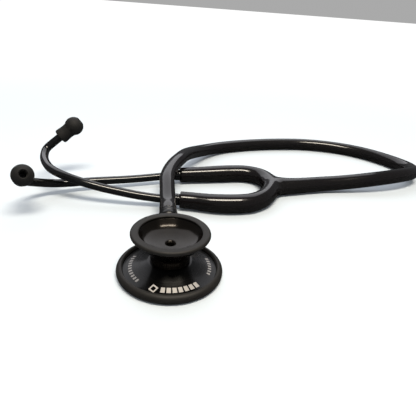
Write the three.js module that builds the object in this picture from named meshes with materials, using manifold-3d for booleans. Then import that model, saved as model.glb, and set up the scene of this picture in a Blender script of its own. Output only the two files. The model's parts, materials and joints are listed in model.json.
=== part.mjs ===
// A double-head stethoscope lying on a table, diaphragm side down.
// Millimetres, +Z up. The origin is the centre of the diaphragm's working face,
// and the valve stem leaves the chestpiece along +Y.
import * as THREE from 'three';
import { mergeVertices } from 'three/addons/utils/BufferGeometryUtils.js';
import Module from 'manifold-3d';

const wasm = await Module();
wasm.setup();

// ---- driving dimensions -----------------------------------------------------------------
const GAP = 0.3;                 // running clearance between neighbouring pieces

const FLANGE_R = 24;             // outside of the diaphragm ring
const RING_ROUND = 2.29;         // radius of the ring's rounded edge
const RING_LIP_R = 21.3;         // inner edge of the ring's top lip
const RING_MOUTH_R = 20.1;       // opening under the ring, round the diaphragm
const DIAPHRAGM_R = 21.2;
const DIAPHRAGM_T = 0.4;
const NECK_R = 9;
const NECK_FOOT_Z = 7;
const NECK_TOP_Z = 11.5;
const SOUND_PORT_R = 1.7;
const BELL_R = 17.6;             // outside of the bell's rubber rim
const BELL_MOUTH_R = 13.9;
const BELL_TOP_Z = 21.7;
const BELL_FLOOR_Z = 15.5;
const BELL_LIP_R = 16;           // metal lip that the rubber rim grips

const STEM_Z = 10.2;             // height of the valve stem's axis
const STEM_SHAFT_R = 2.8;
const STEM_COLLAR_R = 4.1;
const STEM_BEAD_R = 4.9;         // bead in front of the tubing
const STEM_END_Y = 38;           // face that the tubing butts against
const STEM_TAIL_Y = 48;
const STEM_BORE_R = 1.3;
const DETENT_Y = 4.5;

const TUBE_STEM_R = 4.4;         // the tube thickens evenly from the stem to the yoke
const TUBE_YOKE_R = 5.2;
const TUBE_BORE_R = 2.7;
const ARM_R = 5.7;               // yoke and its two arms
const ARM_MOUTH_R = 5;
const ARM_BORE_R = 3.1;
const EAR_TUBE_R = 2.5;
const EAR_TUBE_BORE_R = 1.8;

const SPRING_T = 0.8;            // leaf spring, thickness and height
const SPRING_H = 4.2;

const TIP_LENGTH = 17;           // ear tip, from its skirt to the end of its bulb
const TIP_BULB_R = 5.8;
const TIP_BULB_AT = 11.4;        // centre of the bulb, from the skirt's end
const TIP_SKIRT_R = 4.7;

const HEAD_SIDES = 28;           // facets round the chestpiece's turned parts

const v = (x, y, z) => new THREE.Vector3(x, y, z);

// ---- finishes ---------------------------------------------------------------------------
const finish = (color, roughness, metalness = 0) =>
  new THREE.MeshStandardMaterial({ color, roughness, metalness });
const ANODISED = finish(0x1b1a1c, 0.32, 0.9);
const RIM_RUBBER = finish(0x2f2c2a, 0.6);
const DIAPHRAGM_FILM = finish(0x26262a, 0.35);
const BRIGHT_STEEL = finish(0xb9bcc0, 0.25, 1);
const BLACK_STEEL = finish(0x17171a, 0.22, 0.8);
const SEAL_RUBBER = finish(0x1a1a1a, 0.7);
const TUBING_VINYL = finish(0x121214, 0.18);
const TIP_RUBBER = finish(0x191817, 0.7);

// ---- shape helpers ----------------------------------------------------------------------
function toSolid(geometry) {
  const g = geometry.clone();
  g.deleteAttribute('normal');
  g.deleteAttribute('uv');
  const merged = mergeVertices(g, 1e-4);
  const vertProperties = new Float32Array(merged.attributes.position.array);
  const triVerts = new Uint32Array(merged.index.array);
  return new wasm.Manifold(new wasm.Mesh({ numProp: 3, vertProperties, triVerts }));
}

function toGeometry(solid) {
  const mesh = solid.getMesh();
  const g = new THREE.BufferGeometry();
  g.setAttribute('position', new THREE.BufferAttribute(mesh.vertProperties.slice(), 3));
  g.setIndex(new THREE.BufferAttribute(mesh.triVerts.slice(), 1));
  g.computeVertexNormals();
  return g;
}

// Joins the first list of shapes and cuts the second list from them.
function carve(joined, cut = []) {
  let solid = toSolid(joined[0]);
  for (const g of joined.slice(1)) solid = solid.add(toSolid(g));
  for (const g of cut) solid = solid.subtract(toSolid(g));
  return toGeometry(solid);
}

// Points of an arc in a profile, angles in degrees from the +r direction.
function arc(r, z, radius, from, to, steps = 6) {
  return Array.from({ length: steps + 1 }, (_, i) => {
    const a = THREE.MathUtils.degToRad(from + ((to - from) * i) / steps);
    return [r + radius * Math.cos(a), z + radius * Math.sin(a)];
  });
}

// Turned shape about Z from [radius, height] pairs listed anticlockwise; a profile that
// stays off the axis is closed on itself.
function turned(profile, segments = 40) {
  const offAxis = profile[0][0] > 0;
  const outline = offAxis ? [...profile, profile[0]] : profile;
  const points = outline.map(([r, z]) => new THREE.Vector2(r, z));
  const g = new THREE.LatheGeometry(points, segments);
  g.rotateX(Math.PI / 2);
  return g;
}

// Turns a shape built along +Z so that it runs along a direction from a point.
function aim(geometry, origin, direction) {
  const q = new THREE.Quaternion().setFromUnitVectors(v(0, 0, 1), direction.clone().normalize());
  geometry.applyQuaternion(q);
  geometry.translate(origin.x, origin.y, origin.z);
  return geometry;
}

const rod = (radius, length, origin, direction, sides = 20) =>
  aim(new THREE.CylinderGeometry(radius, radius, length, sides)
    .rotateX(Math.PI / 2).translate(0, 0, length / 2), origin, direction);

function ballAt(centre, radius, around = 20) {
  return new THREE.SphereGeometry(radius, around, around / 2).rotateX(Math.PI / 2)
    .translate(centre.x, centre.y, centre.z);
}

// Round hose or pipe along hand-placed points, with a bore where one is given. The radius is
// a number, or a function of the share of the length from 0 to 1.
function hose(points, radius, boreRadius, steps, sides = 10) {
  const path = new THREE.CatmullRomCurve3(points, false, 'centripetal');
  const { normals, binormals } = path.computeFrenetFrames(steps);
  const radiusAt = typeof radius === 'function' ? radius : () => radius;
  const positions = [];
  const wall = (sizeAt) => {
    const first = positions.length / 3;
    for (let i = 0; i <= steps; i += 1) {
      const middle = path.getPointAt(i / steps);
      for (let k = 0; k < sides; k += 1) {
        const a = (2 * Math.PI * k) / sides;
        positions.push(...middle.clone()
          .addScaledVector(normals[i], sizeAt(i / steps) * Math.cos(a))
          .addScaledVector(binormals[i], sizeAt(i / steps) * Math.sin(a)));
      }
    }
    return (i, k) => first + i * sides + (k % sides);
  };
  // Without a bore, the inner wall shrinks to the centreline and only its end points are used.
  const outer = wall(radiusAt);
  const inner = wall(() => boreRadius);
  const triangles = [];
  const quad = (p, q, r, s) => triangles.push(p, q, r, p, r, s);
  for (let k = 0; k < sides; k += 1) {
    for (let i = 0; i < steps; i += 1) {
      quad(outer(i, k), outer(i, k + 1), outer(i + 1, k + 1), outer(i + 1, k));
      if (boreRadius) quad(inner(i + 1, k), inner(i + 1, k + 1), inner(i, k + 1), inner(i, k));
    }
    if (boreRadius) {
      quad(inner(0, k), inner(0, k + 1), outer(0, k + 1), outer(0, k));
      quad(outer(steps, k), outer(steps, k + 1), inner(steps, k + 1), inner(steps, k));
    } else {
      triangles.push(inner(0, 0), outer(0, k + 1), outer(0, k));
      triangles.push(inner(steps, 0), outer(steps, k), outer(steps, k + 1));
    }
  }
  const g = new THREE.BufferGeometry();
  g.setAttribute('position', new THREE.BufferAttribute(new Float32Array(positions), 3));
  g.setIndex(triangles);
  return toGeometry(toSolid(g));
}

function strip(points, thickness, height, steps) {
  const h = height / 2;
  const t = thickness / 2;
  const corners = [[-h, -t], [h, -t], [h, t], [-h, t]].map(([x, y]) => new THREE.Vector2(x, y));
  const path = new THREE.CatmullRomCurve3(points, false, 'centripetal');
  return new THREE.ExtrudeGeometry(new THREE.Shape(corners),
    { steps, bevelEnabled: false, extrudePath: path });
}

const stethoscope = new THREE.Group();
stethoscope.name = 'stethoscope';

function add(name, geometry, material, parent = stethoscope) {
  const mesh = new THREE.Mesh(geometry, material);
  mesh.name = name;
  parent.add(mesh);
  return mesh;
}

// ---- chestpiece -------------------------------------------------------------------------
function diaphragm() {
  const step = DIAPHRAGM_T + 0.6;
  return turned([
    [0, 0], [RING_MOUTH_R - 0.9, 0], [RING_MOUTH_R - GAP, step], [DIAPHRAGM_R, step],
    [DIAPHRAGM_R, step + DIAPHRAGM_T], [RING_MOUTH_R - 0.7, step + DIAPHRAGM_T],
    [RING_MOUTH_R - 1.3, DIAPHRAGM_T], [0, DIAPHRAGM_T],
  ], HEAD_SIDES);
}

function diaphragmRing() {
  const middle = FLANGE_R - RING_ROUND;
  return turned([
    [RING_MOUTH_R, 0], ...arc(middle, RING_ROUND, RING_ROUND, -90, 90, 6),
    [RING_LIP_R + 0.1, 3.3], [RING_LIP_R, 2.95], [22.65, 2.95], [22.65, 0.7], [RING_MOUTH_R, 0.7],
  ], HEAD_SIDES);
}

// Flange that carries the diaphragm, dished on top and hollow underneath.
function diaphragmCone() {
  const outer = RING_LIP_R - GAP;
  const inner = NECK_R + 0.5;
  const rimZ = 2.9;
  const slope = Array.from({ length: 5 }, (_, i) => {
    const s = i / 4;
    return [outer - s * (outer - inner), rimZ + (NECK_FOOT_Z - rimZ) * s ** 1.5];
  });
  return turned([
    [SOUND_PORT_R, 3], [18.4, 1.9], [18.9, 1.75], [22.3, 1.75], [22.3, 2.6], [outer + 0.1, 2.6],
    ...slope, [8.1, NECK_FOOT_Z], [8.1, 4.9], [SOUND_PORT_R, 4.9],
  ], HEAD_SIDES);
}

// Neck and bell cup, turned from one bar: cross-bored for the stem and for the detent.
function bellBody() {
  const shape = turned([
    [SOUND_PORT_R, 5.2], [7.8, 5.2], [7.8, NECK_FOOT_Z + GAP], [NECK_R, NECK_FOOT_Z + GAP],
    [NECK_R - 0.1, NECK_TOP_Z - 0.6], [NECK_R + 0.3, NECK_TOP_Z], [BELL_LIP_R - 0.5, 18.4],
    [BELL_LIP_R, 19.2], [BELL_LIP_R, 20.6], [15.2, 20.6], [14.4, 20.15], [11.2, 18],
    [8.1, 16], [7.3, BELL_FLOOR_Z],
    [SOUND_PORT_R, BELL_FLOOR_Z],
  ], HEAD_SIDES);
  const stemBore = rod(STEM_SHAFT_R + GAP, 16, v(0, -4.1, STEM_Z), v(0, 1, 0), 16);
  const detentBore = rod(1.15, 10, v(-2, DETENT_Y, STEM_Z), v(-1, 0, 0), 10);
  return carve([shape], [stemBore, detentBore]);
}

// Non-chill rubber rim, grooved underneath to grip the bell's lip.
function bellRim() {
  const round = 1.07;
  const middle = BELL_R - round;
  const z = BELL_TOP_Z - round;
  const groove = BELL_LIP_R + GAP;
  return turned([
    [groove, z - round], ...arc(middle, z, round, -90, 90, 4), [BELL_MOUTH_R + 0.5, BELL_TOP_Z],
    [BELL_MOUTH_R + 0.1, BELL_TOP_Z - 0.15], [BELL_MOUTH_R, BELL_TOP_Z - 0.5],
    [BELL_MOUTH_R + 0.1, 20.75], [14.9, 20.95], [groove, 20.95],
  ], HEAD_SIDES);
}

// Pushes the detent's ball, in the neck's side bore, into the stem's groove.
function detentSpring() {
  const turns = 3;
  const perTurn = 6;
  const length = 1.5;
  const points = Array.from({ length: turns * perTurn + 1 }, (_, i) => {
    const a = (2 * Math.PI * i) / perTurn;
    const x = -4.7 - (length * i) / (turns * perTurn);
    return v(x, DETENT_Y + 0.62 * Math.cos(a), STEM_Z + 0.62 * Math.sin(a));
  });
  return hose(points, 0.13, 0, turns * perTurn, 4);
}

function valveStem() {
  const barbs = [1.2, 4, 6.8].map((step) => STEM_END_Y + step)
    .flatMap((y) => [[2, y], [2.3, y + 0.3], [2, y + 2.4]]);
  const profile = [
    [0, -3.7], [STEM_SHAFT_R - 0.4, -3.7], [STEM_SHAFT_R, -3.3],
    [STEM_SHAFT_R, DETENT_Y - 0.9], [2.35, DETENT_Y - 0.4], [2.35, DETENT_Y + 0.4],
    [STEM_SHAFT_R, DETENT_Y + 0.9], [STEM_SHAFT_R, 8.3], [1.9, 8.3], [1.9, 9.9],
    [STEM_SHAFT_R, 9.9], [STEM_SHAFT_R, 12.6], [STEM_COLLAR_R - 0.3, 12.6],
    [STEM_COLLAR_R, 12.9], [STEM_COLLAR_R, 15.5], [3.3, 17], [3.3, STEM_END_Y - 8],
    [STEM_BEAD_R, STEM_END_Y - 6.5], [STEM_BEAD_R, STEM_END_Y - 0.6],
    [STEM_BEAD_R - 0.6, STEM_END_Y], [2, STEM_END_Y], ...barbs,
    [1.9, STEM_TAIL_Y], [STEM_BORE_R, STEM_TAIL_Y],
    [STEM_BORE_R, -1.4], [0, -1.4],
  ];
  const body = aim(turned(profile, 16), v(0, 0, STEM_Z), v(0, 1, 0));
  const soundHole = rod(STEM_BORE_R, 4, v(0, 0, STEM_Z), v(0, 0, -1), 16);
  return carve([body], [soundHole]);
}

function stemSeal() {
  return new THREE.TorusGeometry(2.55, 0.4, 6, 16).rotateX(Math.PI / 2).translate(0, 9.1, STEM_Z);
}

add('diaphragm', diaphragm(), DIAPHRAGM_FILM);
add('diaphragm_ring', diaphragmRing(), RIM_RUBBER);
add('diaphragm_cone', diaphragmCone(), ANODISED);
add('bell_body', bellBody(), ANODISED);
add('bell_rim', bellRim(), RIM_RUBBER);
add('detent_ball', ballAt(v(-3.55, DETENT_Y, STEM_Z), 0.85, 12), BRIGHT_STEEL);
add('detent_spring', detentSpring(), BRIGHT_STEEL);
const GRUB_SCREW = rod(0.85, 1.2, v(-6.5, DETENT_Y, STEM_Z), v(-1, 0, 0), 12);
add('detent_grub_screw', GRUB_SCREW, BLACK_STEEL);
add('valve_stem', valveStem(), ANODISED);
add('stem_o_ring', stemSeal(), SEAL_RUBBER);

// ---- tubing, yoke and arms --------------------------------------------------------------
// The tube runs straight off the stem, over both ear tubes, round a wide loop on the table
// and back into the yoke's trunk.
const TUBE_ROUTE = [
  v(0, STEM_END_Y + GAP, STEM_Z), v(0, 43, STEM_Z), v(0, 48, 10.3), v(0, 53, 10.9),
  v(0, 59, 12.2), v(0, 66, 13.9), v(0, 73.5, 15.2), v(1.2, 82, 15.8), v(4.2, 93.6, 16),
  v(8.9, 106, 15.8), v(13.8, 120.8, 13.8), v(19.5, 134, 11), v(27.5, 147.5, 8),
  v(36.5, 158.4, 6), v(48, 167.2, 5), v(64, 173.8, 4.8), v(82.5, 178.8, 4.8),
  v(101.5, 181.8, 4.9), v(120, 182.8, 4.9), v(138, 180.3, 4.9), v(154, 174.6, 4.9),
  v(169, 164.5, 5), v(181, 150.5, 5.1), v(188, 136.5, 5.4), v(188.5, 122.5, 6.8),
  v(183.5, 111, 8.5), v(174, 103.8, 9.6), v(160.5, 98.2, 9.9), v(147, 95.2, 9.2),
  v(133, 93.8, 7.8), v(119, 93.2, 6.4), v(105, 92, ARM_R), v(90.8, 89.06, ARM_R),
];
const TRUNK_ROUTE = [v(90.5, 89, ARM_R), v(85, 87.9, ARM_R), v(79, 86.8, ARM_R)];
const LEFT_PIVOT = v(50, 61.5, ARM_R);
const RIGHT_PIVOT = v(55, 108.1, ARM_R);
const LEFT_BRANCH = [
  v(79, 86.8, ARM_R), v(71.5, 82.6, ARM_R), v(65.5, 74.9, ARM_R), v(58.5, 66.2, ARM_R),
  LEFT_PIVOT,
];
const RIGHT_BRANCH = [
  v(79, 86.8, ARM_R), v(73.5, 92.5, ARM_R), v(69.5, 99, ARM_R), v(63.5, 105, ARM_R),
  RIGHT_PIVOT,
];
const LEFT_ARM = [
  LEFT_PIVOT, v(43.4, 59.9, ARM_R), v(35, 59.5, ARM_R), v(26, 60.4, ARM_R),
  v(16.5, 62.7, ARM_R), v(7.7, 64.3, ARM_R),
];
const RIGHT_ARM = [
  RIGHT_PIVOT, v(46, 107.9, ARM_R), v(37.5, 106.8, ARM_R), v(28, 105.4, ARM_R),
  v(18.8, 104.2, ARM_R), v(9.6, 102.9, ARM_R),
];
const SPRING_ROUTE = [
  v(51, 61.8, ARM_R), v(58.3, 66.2, ARM_R), v(65.2, 74.9, ARM_R), v(70.8, 82.4, ARM_R),
  v(73, 87.6, ARM_R), v(72.3, 93.5, ARM_R), v(69, 99.1, ARM_R), v(63.2, 105, ARM_R),
  v(56, 107.9, ARM_R),
];

function yoke() {
  const trunkRadius = (share) => THREE.MathUtils.lerp(TUBE_YOKE_R + 0.2, ARM_R, share);
  const trunk = hose(TRUNK_ROUTE, trunkRadius, 0, 2, 12);
  const branches = [LEFT_BRANCH, RIGHT_BRANCH].map((route) => hose(route, ARM_R, 0, 7, 12));
  const web = ballAt(v(0, 0, 0), 1, 16).scale(7, 9, ARM_R * 0.98).translate(74, 87.3, ARM_R);
  const bores = [LEFT_BRANCH, RIGHT_BRANCH].map((route) =>
    hose(route, ARM_BORE_R, 0, 7, 8));
  const trunkBore = rod(TUBE_BORE_R, 20, v(92, 89.3, ARM_R), v(-13, -2.5, 0), 12);
  const springSlot = strip(SPRING_ROUTE, SPRING_T + 1, SPRING_H + 1, 14);
  const sockets = [LEFT_PIVOT, RIGHT_PIVOT].map((p) => ballAt(p, ARM_R + GAP, 16));
  return carve([trunk, ...branches, web], [...bores, trunkBore, springSlot, ...sockets]);
}

// One sprung arm: a ball-ended hose that slims to its mouth, where its bore holds an ear tube.
function yokeArm(route) {
  const slimming = (share) => THREE.MathUtils.lerp(ARM_R, ARM_MOUTH_R,
    THREE.MathUtils.smoothstep(share, 0.4, 0.9));
  const body = hose(route, slimming, 0, 9, 12);
  const knuckle = ballAt(route[0], ARM_R, 16);
  const bore = hose(route, ARM_BORE_R, 0, 7, 8);
  const backBore = rod(ARM_BORE_R, 8, route[0], route[0].clone().sub(route[1]), 8);
  const end = route.at(-1);
  const mouth = rod(ARM_BORE_R, 2, end.clone().add(route.at(-2)).multiplyScalar(0.5)
    .lerp(end, 0.9), end.clone().sub(route.at(-2)), 8);
  return carve([body, knuckle], [bore, backBore, mouth]);
}

const tubeRadius = (share) => THREE.MathUtils.lerp(TUBE_STEM_R, TUBE_YOKE_R, share);
add('main_tube', hose(TUBE_ROUTE, tubeRadius, TUBE_BORE_R, 44, 8), TUBING_VINYL);
add('yoke', yoke(), TUBING_VINYL);
add('yoke_spring', strip(SPRING_ROUTE, SPRING_T, SPRING_H, 14), BRIGHT_STEEL);
add('left_yoke_arm', yokeArm(LEFT_ARM), TUBING_VINYL);
add('right_yoke_arm', yokeArm(RIGHT_ARM), TUBING_VINYL);

// ---- ear tubes and ear tips -------------------------------------------------------------
// Each ear tube starts inside its arm; its last two points lie on the ear tip's axis.
const TIP_SIDES = {
  left: {
    arm: LEFT_ARM,
    tipBase: v(-68.4, 111.2, 27),
    tipDirection: v(0.77, 0.2, 0.61).normalize(),
    bends: [
      v(7.7, 64.3, ARM_R), v(-3, 66.1, 5.4), v(-15.9, 67.2, 6.6), v(-27.6, 68.4, 8.4),
      v(-39.2, 70.1, 10.4), v(-50.9, 72.6, 12.8), v(-62.3, 77.4, 15), v(-69.1, 83.2, 16),
      v(-73, 89.8, 16.4), v(-75.9, 96.8, 17), v(-77.2, 103.1, 18), v(-76.8, 107.8, 20),
    ],
  },
  right: {
    arm: RIGHT_ARM,
    tipBase: v(-79.2, 60.6, 19.1),
    tipDirection: v(0.347, -0.8, 0.488).normalize(),
    bends: [
      v(9.6, 102.9, ARM_R), v(-1.5, 100.8, 5.4), v(-17, 96.8, 5.1), v(-29.6, 93.4, 5.3),
      v(-41.7, 90.3, 5.7), v(-53.2, 86.8, 6.1), v(-63.8, 82.6, 6.9), v(-71, 78.8, 8.5),
      v(-76.4, 74, 11), v(-79.4, 69, 13.7),
    ],
  },
};
const EAR_TUBE_INSERT = 15;
const along = (p, direction, distance) => p.clone().addScaledVector(direction, distance);

function earTube(side) {
  const armEnd = side.arm.at(-1);
  const inward = side.arm.at(-2).clone().sub(armEnd).normalize();
  const route = [
    along(armEnd, inward, EAR_TUBE_INSERT), along(armEnd, inward, EAR_TUBE_INSERT / 2),
    ...side.bends, along(side.tipBase, side.tipDirection, -3),
    along(side.tipBase, side.tipDirection, 3),
  ];
  return hose(route, EAR_TUBE_R, EAR_TUBE_BORE_R, 26, 8);
}

// Ferrule that closes the arm's mouth round the ear tube.
function earCollar(side) {
  const armEnd = side.arm.at(-1);
  const outward = armEnd.clone().sub(side.arm.at(-2)).normalize();
  const inner = EAR_TUBE_R + GAP;
  const shape = turned([
    [inner, 0], [3.3, 0], [3.5, 0.25], [3.5, 3.2], [3.2, 3.6], [inner, 3.6],
  ], 14);
  return aim(shape, along(armEnd, outward, GAP), outward);
}

// Threaded bush: its spigot sits in the ear tube and its thread holds the ear tip.
function tipScrew(side) {
  const spigotR = EAR_TUBE_BORE_R - GAP - 0.05;
  const threads = [4, 5.3, 6.6].flatMap((z) => [[2.1, z], [2.4, z + 0.4], [2.1, z + 0.8]]);
  const shape = turned([
    [0.8, 0], [spigotR, 0], [spigotR, 3.3], [2.4, 3.3], [2.4, 3.7], ...threads,
    [2.1, 8.6], [1.8, 9], [0.8, 9],
  ], 10);
  return aim(shape, side.tipBase, side.tipDirection);
}

function earTip(side) {
  const socketR = EAR_TUBE_R + 0.35;
  const canalR = 1.7;
  const shape = turned([
    [socketR, 0], [TIP_SKIRT_R - 0.6, 0], [TIP_SKIRT_R, 0.6], [TIP_SKIRT_R, 1.8],
    [TIP_SKIRT_R - 0.25, 5.2], [TIP_SKIRT_R - 0.1, 7.4],
    ...arc(0, TIP_BULB_AT, TIP_BULB_R, -38, 60, 6),
    [2.6, TIP_LENGTH - 0.25], [2.1, TIP_LENGTH - 0.7], [canalR, TIP_LENGTH - 2.4],
    [canalR, 9.6], [socketR, 9.6],
  ], 18);
  return aim(shape, side.tipBase, side.tipDirection);
}

for (const [name, side] of Object.entries(TIP_SIDES)) {
  add(`${name}_ear_tube`, earTube(side), BLACK_STEEL);
  add(`${name}_ear_collar`, earCollar(side), BLACK_STEEL);
  add(`${name}_tip_screw`, tipScrew(side), BLACK_STEEL);
  add(`${name}_ear_tip`, earTip(side), TIP_RUBBER);
}

export default stethoscope;
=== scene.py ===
"""A double-head stethoscope on a pale table top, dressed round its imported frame.

The frame fixes where every rigid piece is. This script builds the fine surface of each piece in
the frame's own axes, lets it ride on its body, and gives it a finish made of nodes. Sizes in the
classes are millimetres, and meshes are metres.
"""

import json
import logging
import math
from dataclasses import dataclass, field
from enum import Enum
from typing import Any, Callable, Sequence

import bmesh
import bpy
import numpy as np
from mathutils import Matrix, Vector


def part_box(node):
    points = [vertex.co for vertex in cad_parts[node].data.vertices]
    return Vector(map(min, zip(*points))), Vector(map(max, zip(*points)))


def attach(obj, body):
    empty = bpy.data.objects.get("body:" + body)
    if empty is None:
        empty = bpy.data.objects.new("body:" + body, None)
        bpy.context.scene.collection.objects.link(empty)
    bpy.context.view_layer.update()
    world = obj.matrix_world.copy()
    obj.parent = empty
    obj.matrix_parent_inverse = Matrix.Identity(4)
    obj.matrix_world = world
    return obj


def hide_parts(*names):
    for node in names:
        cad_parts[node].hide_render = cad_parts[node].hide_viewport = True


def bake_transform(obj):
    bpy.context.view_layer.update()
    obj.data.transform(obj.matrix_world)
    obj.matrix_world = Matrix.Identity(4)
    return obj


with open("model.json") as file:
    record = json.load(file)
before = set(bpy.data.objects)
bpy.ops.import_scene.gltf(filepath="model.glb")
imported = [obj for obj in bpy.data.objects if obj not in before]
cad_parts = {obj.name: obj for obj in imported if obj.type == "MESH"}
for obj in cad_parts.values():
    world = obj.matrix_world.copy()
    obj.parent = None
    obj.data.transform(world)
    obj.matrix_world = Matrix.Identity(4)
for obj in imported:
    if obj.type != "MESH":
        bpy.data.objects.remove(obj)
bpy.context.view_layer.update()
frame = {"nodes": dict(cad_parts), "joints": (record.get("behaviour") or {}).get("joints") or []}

LOG = logging.getLogger("stethoscope")
MM = 0.001
CRISP_EDGE_DEG = 38.0
JOINTS = {joint["name"]: joint for joint in frame["joints"]}

Colour = tuple[float, float, float, float]
Profile = list[tuple[float, float]]


def mm(x: float, y: float, z: float) -> Vector:
    """A point given in millimetres, in metres."""
    return Vector((x, y, z)) * MM


def high(node: str) -> Vector:
    """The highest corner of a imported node, in millimetres."""
    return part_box(node)[1] / MM


def pivot(joint: str) -> Vector:
    """The point that a joint turns about, in metres."""
    return Vector(JOINTS[joint]["pos_m"])


def axle(joint: str) -> Vector:
    """The direction of a joint's axis."""
    return Vector(JOINTS[joint]["axis"]).normalized()


# ---- shader maths -------------------------------------------------------------------------


class Wire:
    """A node's output that takes part in plain arithmetic; each operator adds a Math node."""

    def __init__(self, paint: "Paint", socket: bpy.types.NodeSocket) -> None:
        """Wraps a socket of the material that is being painted."""
        self.paint = paint
        self.socket = socket

    def maths(self, operation: str, *others: Any) -> "Wire":
        """Adds one Math node with this wire as its first input.

        Args:
            operation: the Math node's operation, such as "POWER".
            others: its further inputs, as wires or numbers.

        Returns:
            The node's result.
        """
        return self.paint.maths(operation, self, *others)

    def __add__(self, other: Any) -> "Wire":
        """self + other."""
        return self.maths("ADD", other)

    __radd__ = __add__

    def __sub__(self, other: Any) -> "Wire":
        """self - other."""
        return self.maths("SUBTRACT", other)

    def __rsub__(self, other: Any) -> "Wire":
        """other - self."""
        return self.paint.maths("SUBTRACT", other, self)

    def __mul__(self, other: Any) -> "Wire":
        """self * other."""
        return self.maths("MULTIPLY", other)

    __rmul__ = __mul__

    def __truediv__(self, other: Any) -> "Wire":
        """self / other."""
        return self.maths("DIVIDE", other)

    def __abs__(self) -> "Wire":
        """The size of self without its sign."""
        return self.maths("ABSOLUTE")

    def below(self, limit: float, soft: float) -> "Wire":
        """1 where self is under limit, falling to 0 over a width of soft."""
        return self.paint.node(
            "ShaderNodeMapRange",
            {"interpolation_type": "SMOOTHSTEP"},
            {0: self, 1: limit - soft / 2, 2: limit + soft / 2, 3: 1.0, 4: 0.0},
        )

    def above(self, limit: float, soft: float) -> "Wire":
        """1 where self is over limit, falling to 0 over a width of soft."""
        return 1.0 - self.below(limit, soft)


class Paint:
    """A surface made of nodes: one Principled shader and what feeds it."""

    def __init__(self, name: str, **constants: Any) -> None:
        """Starts the material.

        Args:
            name: the material's name.
            constants: values of the Principled shader's sockets, spaces as underscores.
        """
        self.material = bpy.data.materials.new(name)
        self.material.use_nodes = True
        self.tree = self.material.node_tree
        self.shader = self.tree.nodes["Principled BSDF"]
        for socket, value in constants.items():
            self.shader.inputs[socket.replace("_", " ")].default_value = value
        self.place = self.node("ShaderNodeTexCoord", {}, {}, output="Object")

    def node(
        self, kind: str, settings: dict[str, Any], inputs: dict[Any, Any], output: Any = 0
    ) -> Wire:
        """Adds any node.

        Args:
            kind: the node's type name.
            settings: its properties.
            inputs: values or wires by socket name or number.
            output: the wanted output's name or number.

        Returns:
            That output.
        """
        made = self.tree.nodes.new(kind)
        for key, value in settings.items():
            setattr(made, key, value)
        for key, value in inputs.items():
            if isinstance(value, Wire):
                self.tree.links.new(value.socket, made.inputs[key])
            else:
                made.inputs[key].default_value = value
        return Wire(self, made.outputs[output])

    def maths(self, operation: str, *values: Any) -> Wire:
        """Adds one Math node on wires or numbers, in order."""
        return self.node("ShaderNodeMath", {"operation": operation}, dict(enumerate(values)))

    def feed(self, **wires: Wire) -> None:
        """Links wires to the Principled shader's sockets, spaces as underscores."""
        for socket, wire in wires.items():
            self.tree.links.new(wire.socket, self.shader.inputs[socket.replace("_", " ")])

    def noise(self, size_mm: float, detail: float = 3.0, where: Wire | None = None) -> Wire:
        """Soft random mottling from 0 to 1 whose patches are about size_mm across."""
        inputs = {"Vector": where or self.place, "Scale": 1 / (size_mm * MM), "Detail": detail}
        return self.node("ShaderNodeTexNoise", {}, inputs)

    def axes(self) -> tuple[Wire, Wire, Wire]:
        """The object coordinates as three wires, in millimetres."""
        split = self.node("ShaderNodeSeparateXYZ", {}, {0: self.place})
        outputs = split.socket.node.outputs
        return tuple(Wire(self, socket) / MM for socket in outputs)

    def vector(self, x: Any, y: Any, z: Any) -> Wire:
        """Three values as one vector."""
        return self.node("ShaderNodeCombineXYZ", {}, {0: x, 1: y, 2: z})

    def mix(self, factor: Any, first: Any, second: Any) -> Wire:
        """A colour between first, at 0, and second, at 1."""
        settings = {"data_type": "RGBA"}
        return self.node("ShaderNodeMix", settings, {0: factor, 6: first, 7: second}, output=2)

    def bump(self, height: Wire, depth_mm: float, over: Wire | None = None) -> Wire:
        """A normal raised by height times depth_mm, on top of another bump where one is given."""
        inputs = {"Height": height, "Distance": depth_mm * MM, "Strength": 1.0}
        if over:
            inputs["Normal"] = over
        return self.node("ShaderNodeBump", {}, inputs)


def grey(level: float, warmth: float = 0.0) -> Colour:
    """A near-neutral colour; warmth above 0 leans to brown, below 0 to blue."""
    return (level * (1 + warmth), level, level * (1 - warmth), 1.0)


# ---- finishes -----------------------------------------------------------------------------


@dataclass(frozen=True)
class GlossVinyl:
    """Dip-moulded black vinyl: wet-looking, with faint orange peel and a little dust."""

    name: str = "gloss_black_vinyl"
    tone: float = 0.004
    roughness: float = 0.16

    def make(self) -> bpy.types.Material:
        """Builds the material."""
        paint = Paint(self.name, IOR=1.5, Coat_Roughness=0.08)
        cloud = paint.noise(26)
        dust = paint.noise(0.5, 2).above(0.74, 0.05)
        smear = paint.noise(9, 4)
        purple, brown = grey(self.tone), grey(self.tone * 1.5, 0.15)
        colour = paint.mix(cloud, (purple[0] * 1.3, purple[1], purple[2] * 1.2, 1.0), brown)
        peel = paint.bump(paint.noise(0.9, 2), 0.002)
        paint.feed(
            Base_Color=paint.mix(dust * 0.5, colour, grey(0.07)),
            Roughness=smear * 0.1 + (self.roughness - 0.05) + dust * 0.25,
            Coat_Weight=0.3 - smear * 0.2,
            Normal=paint.bump(paint.noise(6, 2), 0.03, peel),
        )
        return paint.material


@dataclass(frozen=True)
class GlossEnamel:
    """Black baked enamel on steel."""

    name: str = "gloss_black_enamel"
    tone: float = 0.004

    def make(self) -> bpy.types.Material:
        """Builds the material."""
        paint = Paint(self.name, IOR=1.55, Coat_Roughness=0.05)
        cloud = paint.noise(14)
        specks = paint.noise(0.35, 2).above(0.76, 0.04)
        paint.feed(
            Base_Color=paint.mix(cloud, grey(self.tone), grey(self.tone * 1.6, -0.06)),
            Roughness=cloud * 0.08 + 0.12 + specks * 0.2,
            Coat_Weight=0.7 - cloud * 0.3,
            Metallic=0.25 - cloud * 0.1,
            Normal=paint.bump(paint.noise(1.2, 3), 0.002),
        )
        return paint.material


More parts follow.
